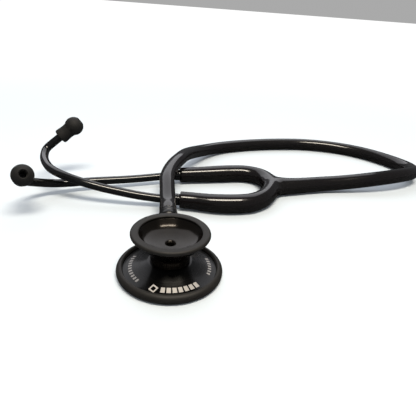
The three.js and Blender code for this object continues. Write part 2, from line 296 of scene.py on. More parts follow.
class Spindle(Enum):
    """The axis that a piece was turned about."""

    HEAD = "head"
    STEM = "stem"


@dataclass(frozen=True)
class Etching:
    """Plain etched marks in arcs round the flange, and one small lozenge; none of them is text.

    Each arc holds its middle and its half width in degrees round the head, 0 at the side away
    from the stem, then its blocks' pitch in degrees, their half width as a share of the pitch,
    the arc's two radii in millimetres and how bright it is. The blocks are counted from
    count_from, whose half puts one of them at the arc's middle.
    """

    arcs: tuple[tuple[float, ...], ...] = (
        (13.0, 28.0, 8.0, 0.36, 16.6, 19.1, 0.85),
        (-84.0, 34.1, 6.2, 0.27, 17.0, 18.6, 0.5),
        (88.0, 21.7, 6.2, 0.27, 17.3, 18.8, 0.55),
    )
    lozenge: tuple[float, float] = (-7.3, -16.3)
    lozenge_r: float = 1.7
    lozenge_line: float = 0.42
    count_from: float = 40.5

    def mask(self, paint: Paint, x: Wire, y: Wire) -> Wire:
        """From 0, off the marks, to 1 on the brightest."""
        radius = (x * x + y * y).maths("SQRT")
        angle = paint.maths("ARCTAN2", x, 0.0 - y) * (180 / math.pi)
        marks = self._lozenge(x, y)
        for middle, half, pitch, duty, inner, outer, bright in self.arcs:
            turned = angle - middle
            step = turned / pitch + self.count_from
            share = abs(step.maths("FRACT") - 0.5)
            height = abs(radius - (inner + outer) / 2) / ((outer - inner) / 2)
            block = share.below(duty, 0.06) * height.below(1.0, 0.12)
            end = abs(turned).below(half, 0.4)
            marks = marks.maths("MAXIMUM", block * end * bright)
        return marks

    def _lozenge(self, x: Wire, y: Wire) -> Wire:
        """The hollow lozenge's mask."""
        away = abs(x - self.lozenge[0]) + abs(y - self.lozenge[1])
        return abs(away - self.lozenge_r).below(self.lozenge_line, 0.16)


@dataclass(frozen=True)
class SatinAnodised:
    """Turned aluminium, dyed and anodised black, with the lathe's fine rings."""

    name: str
    spindle: Spindle
    roughness: float = 0.3
    ring_mm: float = 0.28
    warmth: float = 0.0
    etching: Etching | None = None

    def make(self) -> bpy.types.Material:
        """Builds the material."""
        stretch = {"Anisotropic": 0.8, "Anisotropic_Rotation": 0.25}
        paint = Paint(self.name, IOR=1.6, Coat_Roughness=0.12)
        x, y, z = paint.axes()
        if self.spindle is Spindle.HEAD:
            for socket, value in stretch.items():
                paint.shader.inputs[socket.replace("_", " ")].default_value = value
            lathe = paint.vector((x * x + y * y).maths("SQRT"), z, 0.0)
        else:
            lathe = paint.vector(0.0, y, 0.0)
        rings = self._rings(paint, lathe, self.ring_mm)
        bands = self._rings(paint, lathe, self.ring_mm * 9)
        cloud = paint.noise(6)
        colour = paint.mix(cloud, grey(0.009, self.warmth), grey(0.015, self.warmth))
        roughness = rings * 0.12 + bands * 0.1 + (self.roughness - 0.1)
        metallic = 0.85 - cloud * 0.15
        if self.etching:
            mark = self.etching.mask(paint, x, y)
            colour = paint.mix(mark, colour, grey(0.55, 0.05))
            roughness = roughness + mark * 0.3
            metallic = metallic * (1.0 - mark)
        paint.feed(
            Base_Color=colour,
            Roughness=roughness,
            Metallic=metallic,
            Coat_Weight=0.2 - cloud * 0.1,
            Normal=paint.bump(rings, 0.003, paint.bump(paint.noise(0.2, 2), 0.001)),
        )
        return paint.material

    @staticmethod
    def _rings(paint: Paint, lathe: Wire, size_mm: float) -> Wire:
        """Mottling that is even round the spindle; lathe is in millimetres."""
        return paint.node(
            "ShaderNodeTexNoise", {}, {"Vector": lathe, "Scale": 1 / size_mm, "Detail": 2.0}
        )


@dataclass(frozen=True)
class MouldedRubber:
    """Matte moulded rubber with a fine skin and a little bloom."""

    name: str
    tone: float
    warmth: float = 0.08
    roughness: float = 0.55
    grain_mm: float = 0.35

    def make(self) -> bpy.types.Material:
        """Builds the material."""
        paint = Paint(self.name, IOR=1.45, Sheen_Weight=0.02, Sheen_Roughness=0.5)
        cloud = paint.noise(7, 4)
        grain = paint.noise(self.grain_mm, 2)
        dust = paint.noise(0.45, 2).above(0.72, 0.06)
        darker, paler = grey(self.tone * 0.8, self.warmth), grey(self.tone * 1.25, self.warmth)
        paint.feed(
            Base_Color=paint.mix(dust * 0.25, paint.mix(cloud, darker, paler), grey(0.12)),
            Roughness=cloud * 0.12 + grain * 0.08 + (self.roughness - 0.1),
            Normal=paint.bump(grain, 0.012, paint.bump(paint.noise(3, 2), 0.02)),
        )
        return paint.material


@dataclass(frozen=True)
class LaminateFilm:
    """The diaphragm's dark laminated film: a fine crossed weave under a satin skin."""

    name: str = "diaphragm_laminate"
    thread_mm: float = 0.42

    def make(self) -> bpy.types.Material:
        """Builds the material."""
        paint = Paint(self.name, IOR=1.52, Coat_Roughness=0.15)
        x, y, _ = paint.axes()
        turn = 2 * math.pi / self.thread_mm
        weave = (x * turn).maths("SINE") * (y * turn).maths("SINE") * 0.5 + 0.5
        cloud = paint.noise(11)
        paint.feed(
            Base_Color=paint.mix(weave, grey(0.020, 0.03), grey(0.034, 0.02)),
            Roughness=weave * 0.08 + cloud * 0.1 + 0.26,
            Coat_Weight=0.3 + cloud * 0.2,
            Normal=paint.bump(weave, 0.004),
        )
        return paint.material


@dataclass(frozen=True)
class BrightSteel:
    """Plain bright steel for the small inner pieces, with drawing marks and oil film."""

    name: str = "bright_steel"
    tone: float = 0.5

    def make(self) -> bpy.types.Material:
        """Builds the material."""
        paint = Paint(self.name, Metallic=1.0)
        cloud = paint.noise(1.5, 4)
        paint.feed(
            Base_Color=paint.mix(cloud, grey(self.tone, -0.01), grey(self.tone * 0.75, 0.04)),
            Roughness=cloud * 0.25 + 0.15,
            Normal=paint.bump(paint.noise(0.12, 2), 0.002),
        )
        return paint.material


@dataclass(frozen=True)
class TableTop:
    """A matte white table top that mirrors only dimly in what lies on it."""

    name: str = "white_table"
    mirrored: float = 0.05
    near: float = 0.45
    sweep: float = 1.06

    def make(self) -> bpy.types.Material:
        """Builds the material: lit near the object, and an even white sweep farther off."""
        paint = Paint(self.name, Specular_IOR_Level=0.1, Roughness=0.9)
        paint.feed(Base_Color=paint.mix(paint.noise(60), grey(0.80, -0.09), grey(0.82, -0.09)))
        lit = Wire(paint, paint.shader.outputs[0])
        x, y, _ = paint.axes()
        away = (x * x + y * y).maths("SQRT") * MM
        white = paint.node("ShaderNodeEmission", {}, {"Strength": self.sweep})
        far = away.above(self.near, 0.5)
        ground = paint.node("ShaderNodeMixShader", {}, {0: far, 1: lit, 2: white})
        glossy = paint.node("ShaderNodeLightPath", {}, {}, output="Is Glossy Ray")
        dim = paint.node("ShaderNodeBsdfDiffuse", {}, {"Color": grey(self.mirrored, -0.1)})
        mixed = paint.node("ShaderNodeMixShader", {}, {0: glossy, 1: ground, 2: dim})
        out = paint.tree.nodes["Material Output"]
        paint.tree.links.new(mixed.socket, out.inputs["Surface"])
        return paint.material


@dataclass
class Finishes:
    """Every finish of the object, made once."""

    tubing: bpy.types.Material = field(default_factory=lambda: GlossVinyl().make())
    enamel: bpy.types.Material = field(default_factory=lambda: GlossEnamel().make())
    flange: bpy.types.Material = field(
        default_factory=lambda: SatinAnodised(
            "anodised_flange", Spindle.HEAD, 0.25, etching=Etching()
        ).make()
    )
    bell: bpy.types.Material = field(
        default_factory=lambda: SatinAnodised(
            "anodised_bell", Spindle.HEAD, 0.2, warmth=0.25
        ).make()
    )
    stem: bpy.types.Material = field(
        default_factory=lambda: SatinAnodised("anodised_stem", Spindle.STEM, 0.28).make()
    )
    rim: bpy.types.Material = field(
        default_factory=lambda: MouldedRubber("rim_rubber", 0.0085, 0.14).make()
    )
    tip: bpy.types.Material = field(
        default_factory=lambda: MouldedRubber("ear_tip_rubber", 0.007, 0.05, 0.68).make()
    )
    seal: bpy.types.Material = field(
        default_factory=lambda: MouldedRubber("seal_rubber", 0.015, 0.0, 0.5, 0.1).make()
    )
    film: bpy.types.Material = field(default_factory=lambda: LaminateFilm().make())
    steel: bpy.types.Material = field(default_factory=lambda: BrightSteel().make())


# ---- lines and shapes ---------------------------------------------------------------------


class Route:
    """A smooth line through given points, sampled at even steps."""

    def __init__(self, points: Sequence[Vector], step_mm: float = 1.0) -> None:
        """Runs a centripetal spline through the points.

        Args:
            points: the given points, in metres.
            step_mm: the wanted distance between samples.
        """
        dense = self._spline(np.array([tuple(p) for p in points]))
        walked = np.concatenate([[0], np.cumsum(np.linalg.norm(np.diff(dense, axis=0), axis=1))])
        self.length = float(walked[-1])
        count = max(2, round(self.length / (step_mm * MM)) + 1)
        self.marks = np.linspace(0, self.length, count)
        self.samples = np.stack([np.interp(self.marks, walked, dense[:, i]) for i in range(3)], 1)

    @staticmethod
    def _spline(points: np.ndarray, fine: int = 24) -> np.ndarray:
        """Dense points of a centripetal spline through the given ones."""
        before, after = 2 * points[0] - points[1], 2 * points[-1] - points[-2]
        p = np.vstack([before, points, after])
        t = np.linspace(0, 1, fine, endpoint=False)[:, None]
        runs = []
        for a, b, c, d in zip(p, p[1:], p[2:], p[3:]):
            ab, bc, cd = (np.linalg.norm(v) ** 0.5 for v in (b - a, c - b, d - c))
            start = ((b - a) / ab - (c - a) / (ab + bc) + (c - b) / bc) * bc
            stop = ((c - b) / bc - (d - b) / (bc + cd) + (d - c) / cd) * bc
            bend = 3 * (c - b) - 2 * start - stop
            runs.append(b + start * t + bend * t**2 + (2 * (b - c) + start + stop) * t**3)
        return np.vstack([*runs, points[-1:]])

    def points(self) -> list[Vector]:
        """The samples as vectors."""
        return [Vector(p) for p in self.samples]

    def heading(self, mark: int) -> Vector:
        """The direction that the line runs in at a sample."""
        ahead = self.samples[min(mark + 1, len(self.samples) - 1)]
        return Vector(ahead - self.samples[max(mark - 1, 0)]).normalized()

    def nearest(self, point: Vector) -> int:
        """The number of the sample nearest to a point."""
        return int(np.linalg.norm(self.samples - np.array(point), axis=1).argmin())

    def after(self, mark: int) -> "Route":
        """The rest of the line from a sample on."""
        rest = Route.__new__(Route)
        rest.samples = self.samples[mark:]
        rest.marks = self.marks[mark:] - self.marks[mark]
        rest.length = float(rest.marks[-1])
        return rest


def filleted(corners: Sequence[tuple[float, ...]], steps: int = 5) -> Profile:
    """Rounds the corners of a profile.

    Args:
        corners: (radius, height) or (radius, height, fillet) in millimetres.
        steps: faces round each fillet.

    Returns:
        The profile's (radius, height) points in metres.
    """
    points = [Vector((c[0], c[1])) for c in corners]
    rounded: Profile = []
    for i, corner in enumerate(corners):
        here = points[i]
        if len(corner) < 3 or i in (0, len(corners) - 1):
            rounded.append((here.x * MM, here.y * MM))
            continue
        before, after = points[i - 1] - here, points[i + 1] - here
        cut = min(corner[2], before.length * 0.45, after.length * 0.45)
        start, stop = here + before.normalized() * cut, here + after.normalized() * cut
        for k in range(steps + 1):
            t = k / steps
            at = start * (1 - t) ** 2 + here * 2 * t * (1 - t) + stop * t * t
            rounded.append((at.x * MM, at.y * MM))
    return rounded


def arc(
    centre_r: float, centre_z: float, radius: float, start: float, stop: float, steps: int = 12
) -> Profile:
    """Profile points round an arc, in millimetres and in degrees from the outward direction."""
    angles = (math.radians(start + (stop - start) * k / steps) for k in range(steps + 1))
    return [(centre_r + radius * math.cos(a), centre_z + radius * math.sin(a)) for a in angles]


def aimed(origin: Vector, direction: Vector) -> Matrix:
    """The placing that turns +Z to a direction and moves the origin to a point."""
    turn = Vector((0, 0, 1)).rotation_difference(direction.normalized())
    return Matrix.Translation(origin) @ turn.to_matrix().to_4x4()


class Piece:
    """One mesh on the bench, shaped as a bmesh and then finished as a named object."""

    def __init__(self, name: str) -> None:
        """Starts an empty mesh."""
        self.name = name
        self.bm = bmesh.new()

    def turn(self, profile: Profile, steps: int = 96) -> "Piece":
        """Spins a profile of (radius, height) in metres about Z; off the axis it is closed."""
        corners = [self.bm.verts.new((r, 0, z)) for r, z in profile]
        pairs = list(zip(corners, corners[1:]))
        if profile[0][0] > 0:
            pairs.append((corners[-1], corners[0]))
        edges = [self.bm.edges.new(pair) for pair in pairs]
        bmesh.ops.spin(
            self.bm, geom=[*corners, *edges], cent=(0, 0, 0), axis=(0, 0, 1),
            angle=2 * math.pi, steps=steps, use_merge=True, use_duplicate=False,
        )
        return self.cleaned()

    def cleaned(self) -> "Piece":
        """Merges doubles and turns every face outwards."""
        bmesh.ops.remove_doubles(self.bm, verts=self.bm.verts[:], dist=1e-6)
        bmesh.ops.dissolve_degenerate(self.bm, edges=self.bm.edges[:], dist=1e-7)
        bmesh.ops.recalc_face_normals(self.bm, faces=self.bm.faces[:])
        return self

    def closed(self) -> "Piece":
        """Fills each open end with one flat face."""
        rim = [edge for edge in self.bm.edges if edge.is_boundary]
        bmesh.ops.holes_fill(self.bm, edges=rim, sides=0)
        return self

    def placed(self, matrix: Matrix) -> "Piece":
        """Moves the whole mesh."""
        bmesh.ops.transform(self.bm, matrix=matrix, verts=self.bm.verts[:])
        return self

    def hose(self, route: Route, radius_at: Callable[[float], float], sides: int = 48) -> "Piece":
        """Sweeps a round section along a route.

        Args:
            route: the centreline.
            radius_at: the radius in millimetres at a distance in millimetres from the start.
            sides: faces round the section.

        Returns:
            The piece.
        """
        curve = bpy.data.curves.new(self.name, "CURVE")
        curve.dimensions = "3D"
        curve.fill_mode = "FULL"
        curve.bevel_depth = MM
        curve.bevel_resolution = (sides - 4) // 2
        spline = curve.splines.new("POLY")
        spline.points.add(len(route.samples) - 1)
        for point, mark, at in zip(spline.points, route.marks, route.samples):
            point.co = (*at, 1)
            point.radius = radius_at(mark / MM)
        holder = bpy.data.objects.new(self.name, curve)
        bpy.context.scene.collection.objects.link(holder)
        self._take(holder)
        bpy.data.curves.remove(curve)
        return self.closed().cleaned()

    def _take(self, holder: bpy.types.Object) -> None:
        """Adds an object's evaluated mesh to the bmesh and deletes the object."""
        bpy.context.view_layer.update()
        evaluated = holder.evaluated_get(bpy.context.evaluated_depsgraph_get())
        mesh = bpy.data.meshes.new_from_object(evaluated)
        self.bm.from_mesh(mesh)
        bpy.data.meshes.remove(mesh)
        bpy.data.objects.remove(holder)

    def _modified(self, kind: str, **settings: Any) -> "Piece":
        """Runs one modifier over the bmesh."""
        mesh = bpy.data.meshes.new("bench")
        self.bm.to_mesh(mesh)
        holder = bpy.data.objects.new("bench", mesh)
        bpy.context.scene.collection.objects.link(holder)
        modifier = holder.modifiers.new("work", kind)
        for key, value in settings.items():
            setattr(modifier, key, value)
        self.bm.clear()
        self._take(holder)
        bpy.data.meshes.remove(mesh)
        return self

    def remeshed(self, voxel_mm: float) -> "Piece":
        """Rebuilds the surface as one even skin of small squares."""
        return self._modified("REMESH", mode="VOXEL", voxel_size=voxel_mm * MM)

    def drilled(self, *cutters: "Piece") -> "Piece":
        """Cuts other pieces' shapes out of this one."""
        for cutter in cutters:
            mesh = bpy.data.meshes.new("cutter")
            cutter.bm.to_mesh(mesh)
            cutter.bm.free()
            tool = bpy.data.objects.new("cutter", mesh)
            bpy.context.scene.collection.objects.link(tool)
            self._modified("BOOLEAN", object=tool, operation="DIFFERENCE", solver="EXACT")
            bpy.data.objects.remove(tool)
            bpy.data.meshes.remove(mesh)
        return self

    def rod(self, radius: float, length: float, place: Matrix, sides: int = 48) -> "Piece":
        """Adds a plain rod along +Z from the origin, in millimetres, then placed."""
        lift = Matrix.Translation((0, 0, length * MM / 2))
        bmesh.ops.create_cone(
            self.bm, cap_ends=True, segments=sides, radius1=radius * MM, radius2=radius * MM,
            depth=length * MM, matrix=place @ lift,
        )
        return self

    def cap_near(self, point: Vector) -> bmesh.types.BMFace:
        """The many-sided end face nearest to a point."""
        caps = [f for f in self.bm.faces if len(f.verts) > 8]
        return min(caps, key=lambda f: (f.calc_center_median() - point).length)

    def opened(self, point: Vector, wall: float, depth: float, lip: float) -> "Piece":
        """Rounds the end face at a point and sinks a bore into it.

        Args:
            point: a point by the end face.
            wall: thickness of the wall round the bore, in millimetres.
            depth: how deep the bore goes, in millimetres.
            lip: rounding of the outer edge, in millimetres.

        Returns:
            The piece.
        """
        self.eased(point, lip)
        for thickness, sink in ((wall - lip, 0.0), (0.15, -0.12), (0.05, -depth)):
            bmesh.ops.inset_individual(
                self.bm, faces=[self.cap_near(point)], thickness=thickness * MM,
                depth=sink * MM, use_even_offset=True,
            )
        return self

    def eased(self, point: Vector, lip: float) -> "Piece":
        """Rounds the edge of the end face at a point."""
        bmesh.ops.bevel(
            self.bm, geom=self.cap_near(point).edges[:], offset=lip * MM, segments=5,
            profile=0.5, affect="EDGES", material=-1,
        )
        return self

    def trimmed(self, point: Vector, keep: Vector) -> "Piece":
        """Cuts the mesh by a plane, keeps the side that keep points to and closes the cut."""
        bmesh.ops.bisect_plane(
            self.bm, geom=[*self.bm.verts, *self.bm.edges, *self.bm.faces], plane_co=point,
            plane_no=keep, clear_inner=True,
        )
        self.closed()
        bmesh.ops.recalc_face_normals(self.bm, faces=self.bm.faces[:])
        return self

    def done(
        self, material: bpy.types.Material, slot: str, body: str | None,
        instead_of: Sequence[str] = (),
    ) -> bpy.types.Object:
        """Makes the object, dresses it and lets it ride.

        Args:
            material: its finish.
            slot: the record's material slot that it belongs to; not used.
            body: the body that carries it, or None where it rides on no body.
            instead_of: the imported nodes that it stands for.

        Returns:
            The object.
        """
        mesh = bpy.data.meshes.new(self.name)
        self.bm.to_mesh(mesh)
        self.bm.free()
        mesh.materials.append(material)
        mesh.polygons.foreach_set("use_smooth", [True] * len(mesh.polygons))
        mesh.set_sharp_from_angle(angle=math.radians(CRISP_EDGE_DEG))
        made = bpy.data.objects.new(self.name, mesh)
        bpy.context.scene.collection.objects.link(made)
        if body:
            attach(made, body)
        if instead_of:
            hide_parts(*instead_of)
        LOG.info("%s: %d faces", self.name, len(mesh.polygons))
        return made


# ---- the head -----------------------------------------------------------------------------


@dataclass
class Chestpiece:
    """The double head: flange with its diaphragm, neck and bell, and the click stop."""

    flange_r: float = high("diaphragm_ring").x
    ring_round: float = 2.29
    brim_r: float = 22.3
    groove_r: float = 22.65
    lip_r: float = 21.3
    mouth_r: float = 20.1
    neck_r: float = 9.0
    neck_foot: float = high("diaphragm_cone").z
    port_r: float = 1.7
    bell_floor: float = 15.5
    bell_top: float = high("bell_rim").z
    bell_r: float = high("bell_rim").x
    bell_mouth_r: float = 13.9
    bell_lip_r: float = 16.0
    stem_bore_r: float = 3.1
    stem: Vector = field(default_factory=lambda: pivot("chestpiece_turn") / MM)
    detent_y: float = 4.5
    body: str = "chestpiece"

    def build(self, finishes: Finishes) -> None:
        """Makes every piece of the head."""
        self._flange(finishes)
        self._ring(finishes)
        self._diaphragm(finishes)
        self._bell(finishes)
        self._rim(finishes)
        self._detent(finishes)

    def _flange(self, finishes: Finishes) -> None:
        """The dished cone that carries the diaphragm."""
        outer, inner, foot, steps = self.lip_r - 0.3, 9.6, 2.9, 20
        slope = []
        for k in range(steps + 1):
            share = k / steps
            rise = (self.neck_foot - foot) * share**1.5
            slope.append((outer - (outer - inner) * share, foot + rise))
        profile = filleted([
            (self.port_r, 3.0), (18.4, 1.9, 0.2), (18.9, 1.75, 0.2), (self.brim_r, 1.75, 0.15),
            (self.brim_r, 2.6, 0.3), (outer + 0.1, 2.6, 0.1), *slope, (9.35, self.neck_foot, 0.1),
            (8.1, self.neck_foot, 0.1), (8.1, 4.9, 0.1), (self.port_r, 4.9),
        ])
        piece = Piece("flange").turn(profile, 128)
        piece.done(finishes.flange, "anodised_aluminium", self.body, ["diaphragm_cone"])

    def _ring(self, finishes: Finishes) -> None:
        """The thick rubber-covered ring round the flange, with its faint parting line."""
        middle = self.flange_r - self.ring_round
        lower = arc(middle, self.ring_round, self.ring_round, -90, -3, 16)
        upper = arc(middle, self.ring_round, self.ring_round, 3, 90, 16)
        parting = (self.flange_r - 0.07, self.ring_round)
        profile = filleted([
            (self.mouth_r, 0.25), (self.mouth_r + 0.25, 0.0), *lower, parting, *upper,
            (self.lip_r + 0.2, 4.1, 0.4), (self.lip_r, 3.35, 0.2), (self.lip_r, 2.95, 0.1),
            (self.groove_r, 2.95, 0.1), (self.groove_r, 0.7, 0.1), (self.mouth_r, 0.7),
        ])
        piece = Piece("flange_ring").turn(profile, 128)
        piece.done(finishes.rim, "rim_rubber", self.body, ["diaphragm_ring"])

    def _diaphragm(self, finishes: Finishes) -> None:
        """The thin disc, stepped where the ring holds it, with one pressed circle."""
        outer = self.mouth_r
        profile = filleted([
            (0.0, 0.0), (11.6, 0.0, 0.2), (12.0, 0.1, 0.2), (12.4, 0.0, 0.2),
            (outer - 0.9, 0.0, 0.4), (outer - 0.3, 1.0, 0.3), (21.2, 1.0, 0.1),
            (21.2, 1.4, 0.1), (outer - 0.7, 1.4, 0.3), (outer - 1.3, 0.4, 0.4), (0.0, 0.4),
        ])
        piece = Piece("diaphragm_disc").turn(profile, 128)
        piece.done(finishes.film, "diaphragm_film", self.body, ["diaphragm"])

    def _bell(self, finishes: Finishes) -> None:
        """Neck and bell cup from one bar, cross-drilled for the stem and the detent."""
        floor, lip = self.bell_floor, self.bell_lip_r
        profile = filleted([
            (self.port_r, 5.2), (7.8, 5.2, 0.1), (7.8, 7.3, 0.1), (self.neck_r, 7.3, 0.2),
            (self.neck_r - 0.1, 10.7, 0.9), (9.4, 11.6, 0.9), (lip - 0.5, 18.4, 1.4),
            (lip, 19.2, 0.4), (lip, 20.6, 0.3), (15.2, 20.6, 0.3), (14.3, 20.25, 0.4),
            (12.1, 17.1, 3.2), (6.5, floor + 0.1, 4.0), (2.5, floor, 0.4),
            (self.port_r, floor - 0.8, 0.3), (self.port_r, 9.0),
        ], 6)
        along, aside = Vector((0, 1, 0)), Vector((-1, 0, 0))
        stem_bore = Piece("bore").rod(
            self.stem_bore_r, 16.0, aimed(mm(0, -4.1, self.stem.z), along)
        )
        side_bore = Piece("bore").rod(
            1.15, 10.0, aimed(mm(-2, self.detent_y, self.stem.z), aside), 24
        )
        piece = Piece("bell").turn(profile, 128).drilled(stem_bore, side_bore)
        piece.done(finishes.bell, "anodised_aluminium", self.body, ["bell_body"])

    def _rim(self, finishes: Finishes) -> None:
        """The soft rim that grips the bell's lip."""
        rounding = 1.07
        middle, height, top = self.bell_r - rounding, self.bell_top - rounding, self.bell_top
        mouth, groove = self.bell_mouth_r, self.bell_lip_r + 0.3
        profile = filleted([
            (groove, height - rounding), *arc(middle, height, rounding, -90, 78, 14),
            (15.6, top - 0.02, 0.6), (mouth + 0.9, top - 0.06, 0.5),
            (mouth + 0.1, top - 0.3, 0.3), (mouth, top - 0.7, 0.2),
            (mouth + 0.1, 20.75, 0.1), (14.9, 20.95, 0.1), (groove, 20.95),
        ])
        piece = Piece("bell_rim_rubber").turn(profile, 128)
        piece.done(finishes.rim, "rim_rubber", self.body, ["bell_rim"])

    def _detent(self, finishes: Finishes) -> None:
        """The click stop in the neck's side: ball, coil spring and socket-headed screw."""
        out = Vector((-1, 0, 0))
        y, z = self.detent_y, self.stem.z
        ball = Piece("detent_ball_fine")
        bmesh.ops.create_uvsphere(
            ball.bm, u_segments=32, v_segments=20, radius=0.85 * MM,
            matrix=Matrix.Translation(mm(-3.55, y, z)),
        )
        ball.done(finishes.steel, "bright_steel", self.body, ["detent_ball"])
        turns, per_turn, length, coil_r = 3, 20, 1.5, 0.62
        coil = []
        for k in range(turns * per_turn + 1):
            a = 2 * math.pi * k / per_turn
            away = -4.7 - length * k / (turns * per_turn)
            coil.append(mm(away, y + coil_r * math.cos(a), z + coil_r * math.sin(a)))
        spring = Piece("detent_spring_fine").hose(Route(coil, 0.15), lambda _: 0.13, 12)
        spring.done(finishes.steel, "bright_steel", self.body, ["detent_spring"])
        socket = Piece("socket").rod(0.42, 1.0, aimed(mm(-7.1, y, z), out), 6)
        screw = Piece("detent_screw").rod(0.85, 1.2, aimed(mm(-6.5, y, z), out), 32)
        screw.eased(mm(-7.7, y, z), 0.12).drilled(socket)
        screw.done(finishes.enamel, "black_steel", self.body, ["detent_grub_screw"])


@dataclass
class ValveStem:
    """The turned stem that the head rotates on, with its seal."""

    shaft_r: float = 2.8
    collar_r: float = 4.1
    bead_r: float = high("valve_stem").x
    end_y: float = 38.0
    tail_y: float = high("valve_stem").y
    detent_y: float = 4.5
    body: str = "tubing"

    def build(self, finishes: Finishes) -> None:
        """Makes the stem and the O-ring."""
        r, c, end, click = self.shaft_r, self.collar_r, self.end_y, self.detent_y
        bead = self.bead_r
        barbs = [
            p for y in (end + 1.2, end + 4.0, end + 6.8)
            for p in ((2.0, y), (2.3, y + 0.3), (2.0, y + 2.4))
        ]
        profile = filleted([
            (0.0, -3.7), (r - 0.4, -3.7, 0.1), (r, -3.3, 0.1), (r, click - 0.9, 0.1),
            (2.35, click - 0.4, 0.2), (2.35, click + 0.4, 0.2), (r, click + 0.9, 0.1),
            (r, 8.3, 0.1), (1.9, 8.3, 0.1), (1.9, 9.9, 0.1), (r, 9.9, 0.1), (r, 12.6, 0.1),
            (c - 0.3, 12.6, 0.1), (c, 12.9, 0.2), (c, 15.5, 0.5), (3.3, 17.0, 0.8),
            (3.3, end - 8, 1.0), (bead, end - 6.5, 0.9), (bead, end - 3.6, 0.05),
            (bead - 0.2, end - 3.4, 0.05), (bead, end - 3.2, 0.05), (bead, end - 0.6, 0.5),
            (bead - 0.7, end, 0.2), (2.0, end, 0.1), *barbs,
            (1.9, self.tail_y, 0.1), (1.3, self.tail_y, 0.1), (1.3, -1.4, 0.1), (0.0, -1.4),
        ], 4)
        centre, along = pivot("chestpiece_turn"), axle("chestpiece_turn")
        port = Piece("port").rod(1.3, 4.0, aimed(centre, Vector((0, 0, -1))), 32)
        stem = Piece("stem").turn(profile, 64).placed(aimed(centre, along)).drilled(port)
        stem.done(finishes.stem, "anodised_aluminium", self.body, ["valve_stem"])
        section = [(r * MM, z * MM) for r, z in arc(2.55, 9.1, 0.4, 0, 345, 23)]
        seal = Piece("stem_seal").turn(section, 64).placed(aimed(centre, along))
        seal.done(finishes.seal, "seal_rubber", self.body, ["stem_o_ring"])


# ---- tubing and yoke ----------------------------------------------------------------------


@dataclass
class Tubing:
    """The long tube: off the stem, over the ear tubes, round its loop and into the yoke."""

    stem_r: float = 4.4
    yoke_r: float = 5.1
    wall: float = 1.7
    swelling: float = 0.28
    swollen_at: float = 5.0
    swollen_over: float = 3.6
    drawn_in: float = 0.25
    drawn_over: float = 2.2
    exit: Vector = field(default_factory=lambda: mm(0, 38, 10.2))
    body: str = "tubing"

    def route(self) -> list[Vector]:
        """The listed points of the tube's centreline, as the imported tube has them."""
        return [
            mm(0, 38.3, 10.2), mm(0, 43, 10.2), mm(0, 48, 10.3), mm(0, 53, 10.9),
            mm(0, 59, 12.2), mm(0, 66, 13.9), mm(0, 73.5, 15.2), mm(1.2, 82, 15.8),
            mm(4.2, 93.6, 16), mm(8.9, 106, 15.8), mm(13.8, 120.8, 13.8), mm(19.5, 134, 11),
            mm(27.5, 147.5, 8), mm(36.5, 158.4, 6), mm(48, 167.2, 5), mm(64, 173.8, 4.8),
            mm(82.5, 178.8, 4.8), mm(101.5, 181.8, 4.9), mm(120, 182.8, 4.9),
            mm(138, 180.3, 4.9), mm(154, 174.6, 4.9), mm(169, 164.5, 5), mm(181, 150.5, 5.1),
            mm(188, 136.5, 5.4), mm(188.5, 122.5, 6.8), mm(183.5, 111, 8.5), mm(174, 103.8, 9.6),
            mm(160.5, 98.2, 9.9), mm(147, 95.2, 9.2), mm(133, 93.8, 7.8), mm(119, 93.2, 6.4),
            mm(105, 92, 5.7), mm(90.8, 89.06, 5.7),
        ]

    def build(self, finishes: Finishes) -> None:
        route = Route(self.route(), 1.5)
        whole = route.length / MM

        def radius_at(distance: float) -> float:
            """Thickening to the yoke, swollen over the barbs, drawn in where the yoke covers."""
            even = self.stem_r + (self.yoke_r - self.stem_r) * distance / whole
            past = (distance - self.swollen_at) / self.swollen_over
            swell = self.swelling * math.exp(-(past**2))
            covered = max(0.0, 1 - (whole - distance) / self.drawn_over)
            return even + swell - self.drawn_in * covered

        tube = Piece("tube").hose(route, radius_at, 56)
        tube.opened(route.points()[0], self.wall, 11.0, 0.55)
        made = tube.done(finishes.tubing, "tubing_vinyl", self.body, ["main_tube"])
        tuple(self.exit)
        route.points()
        LOG.info("tube length %.3f m", route.length)


class Side(Enum):
    """The wearer's side that an arm and its ear tube belong to."""

    LEFT = "left"
    RIGHT = "right"


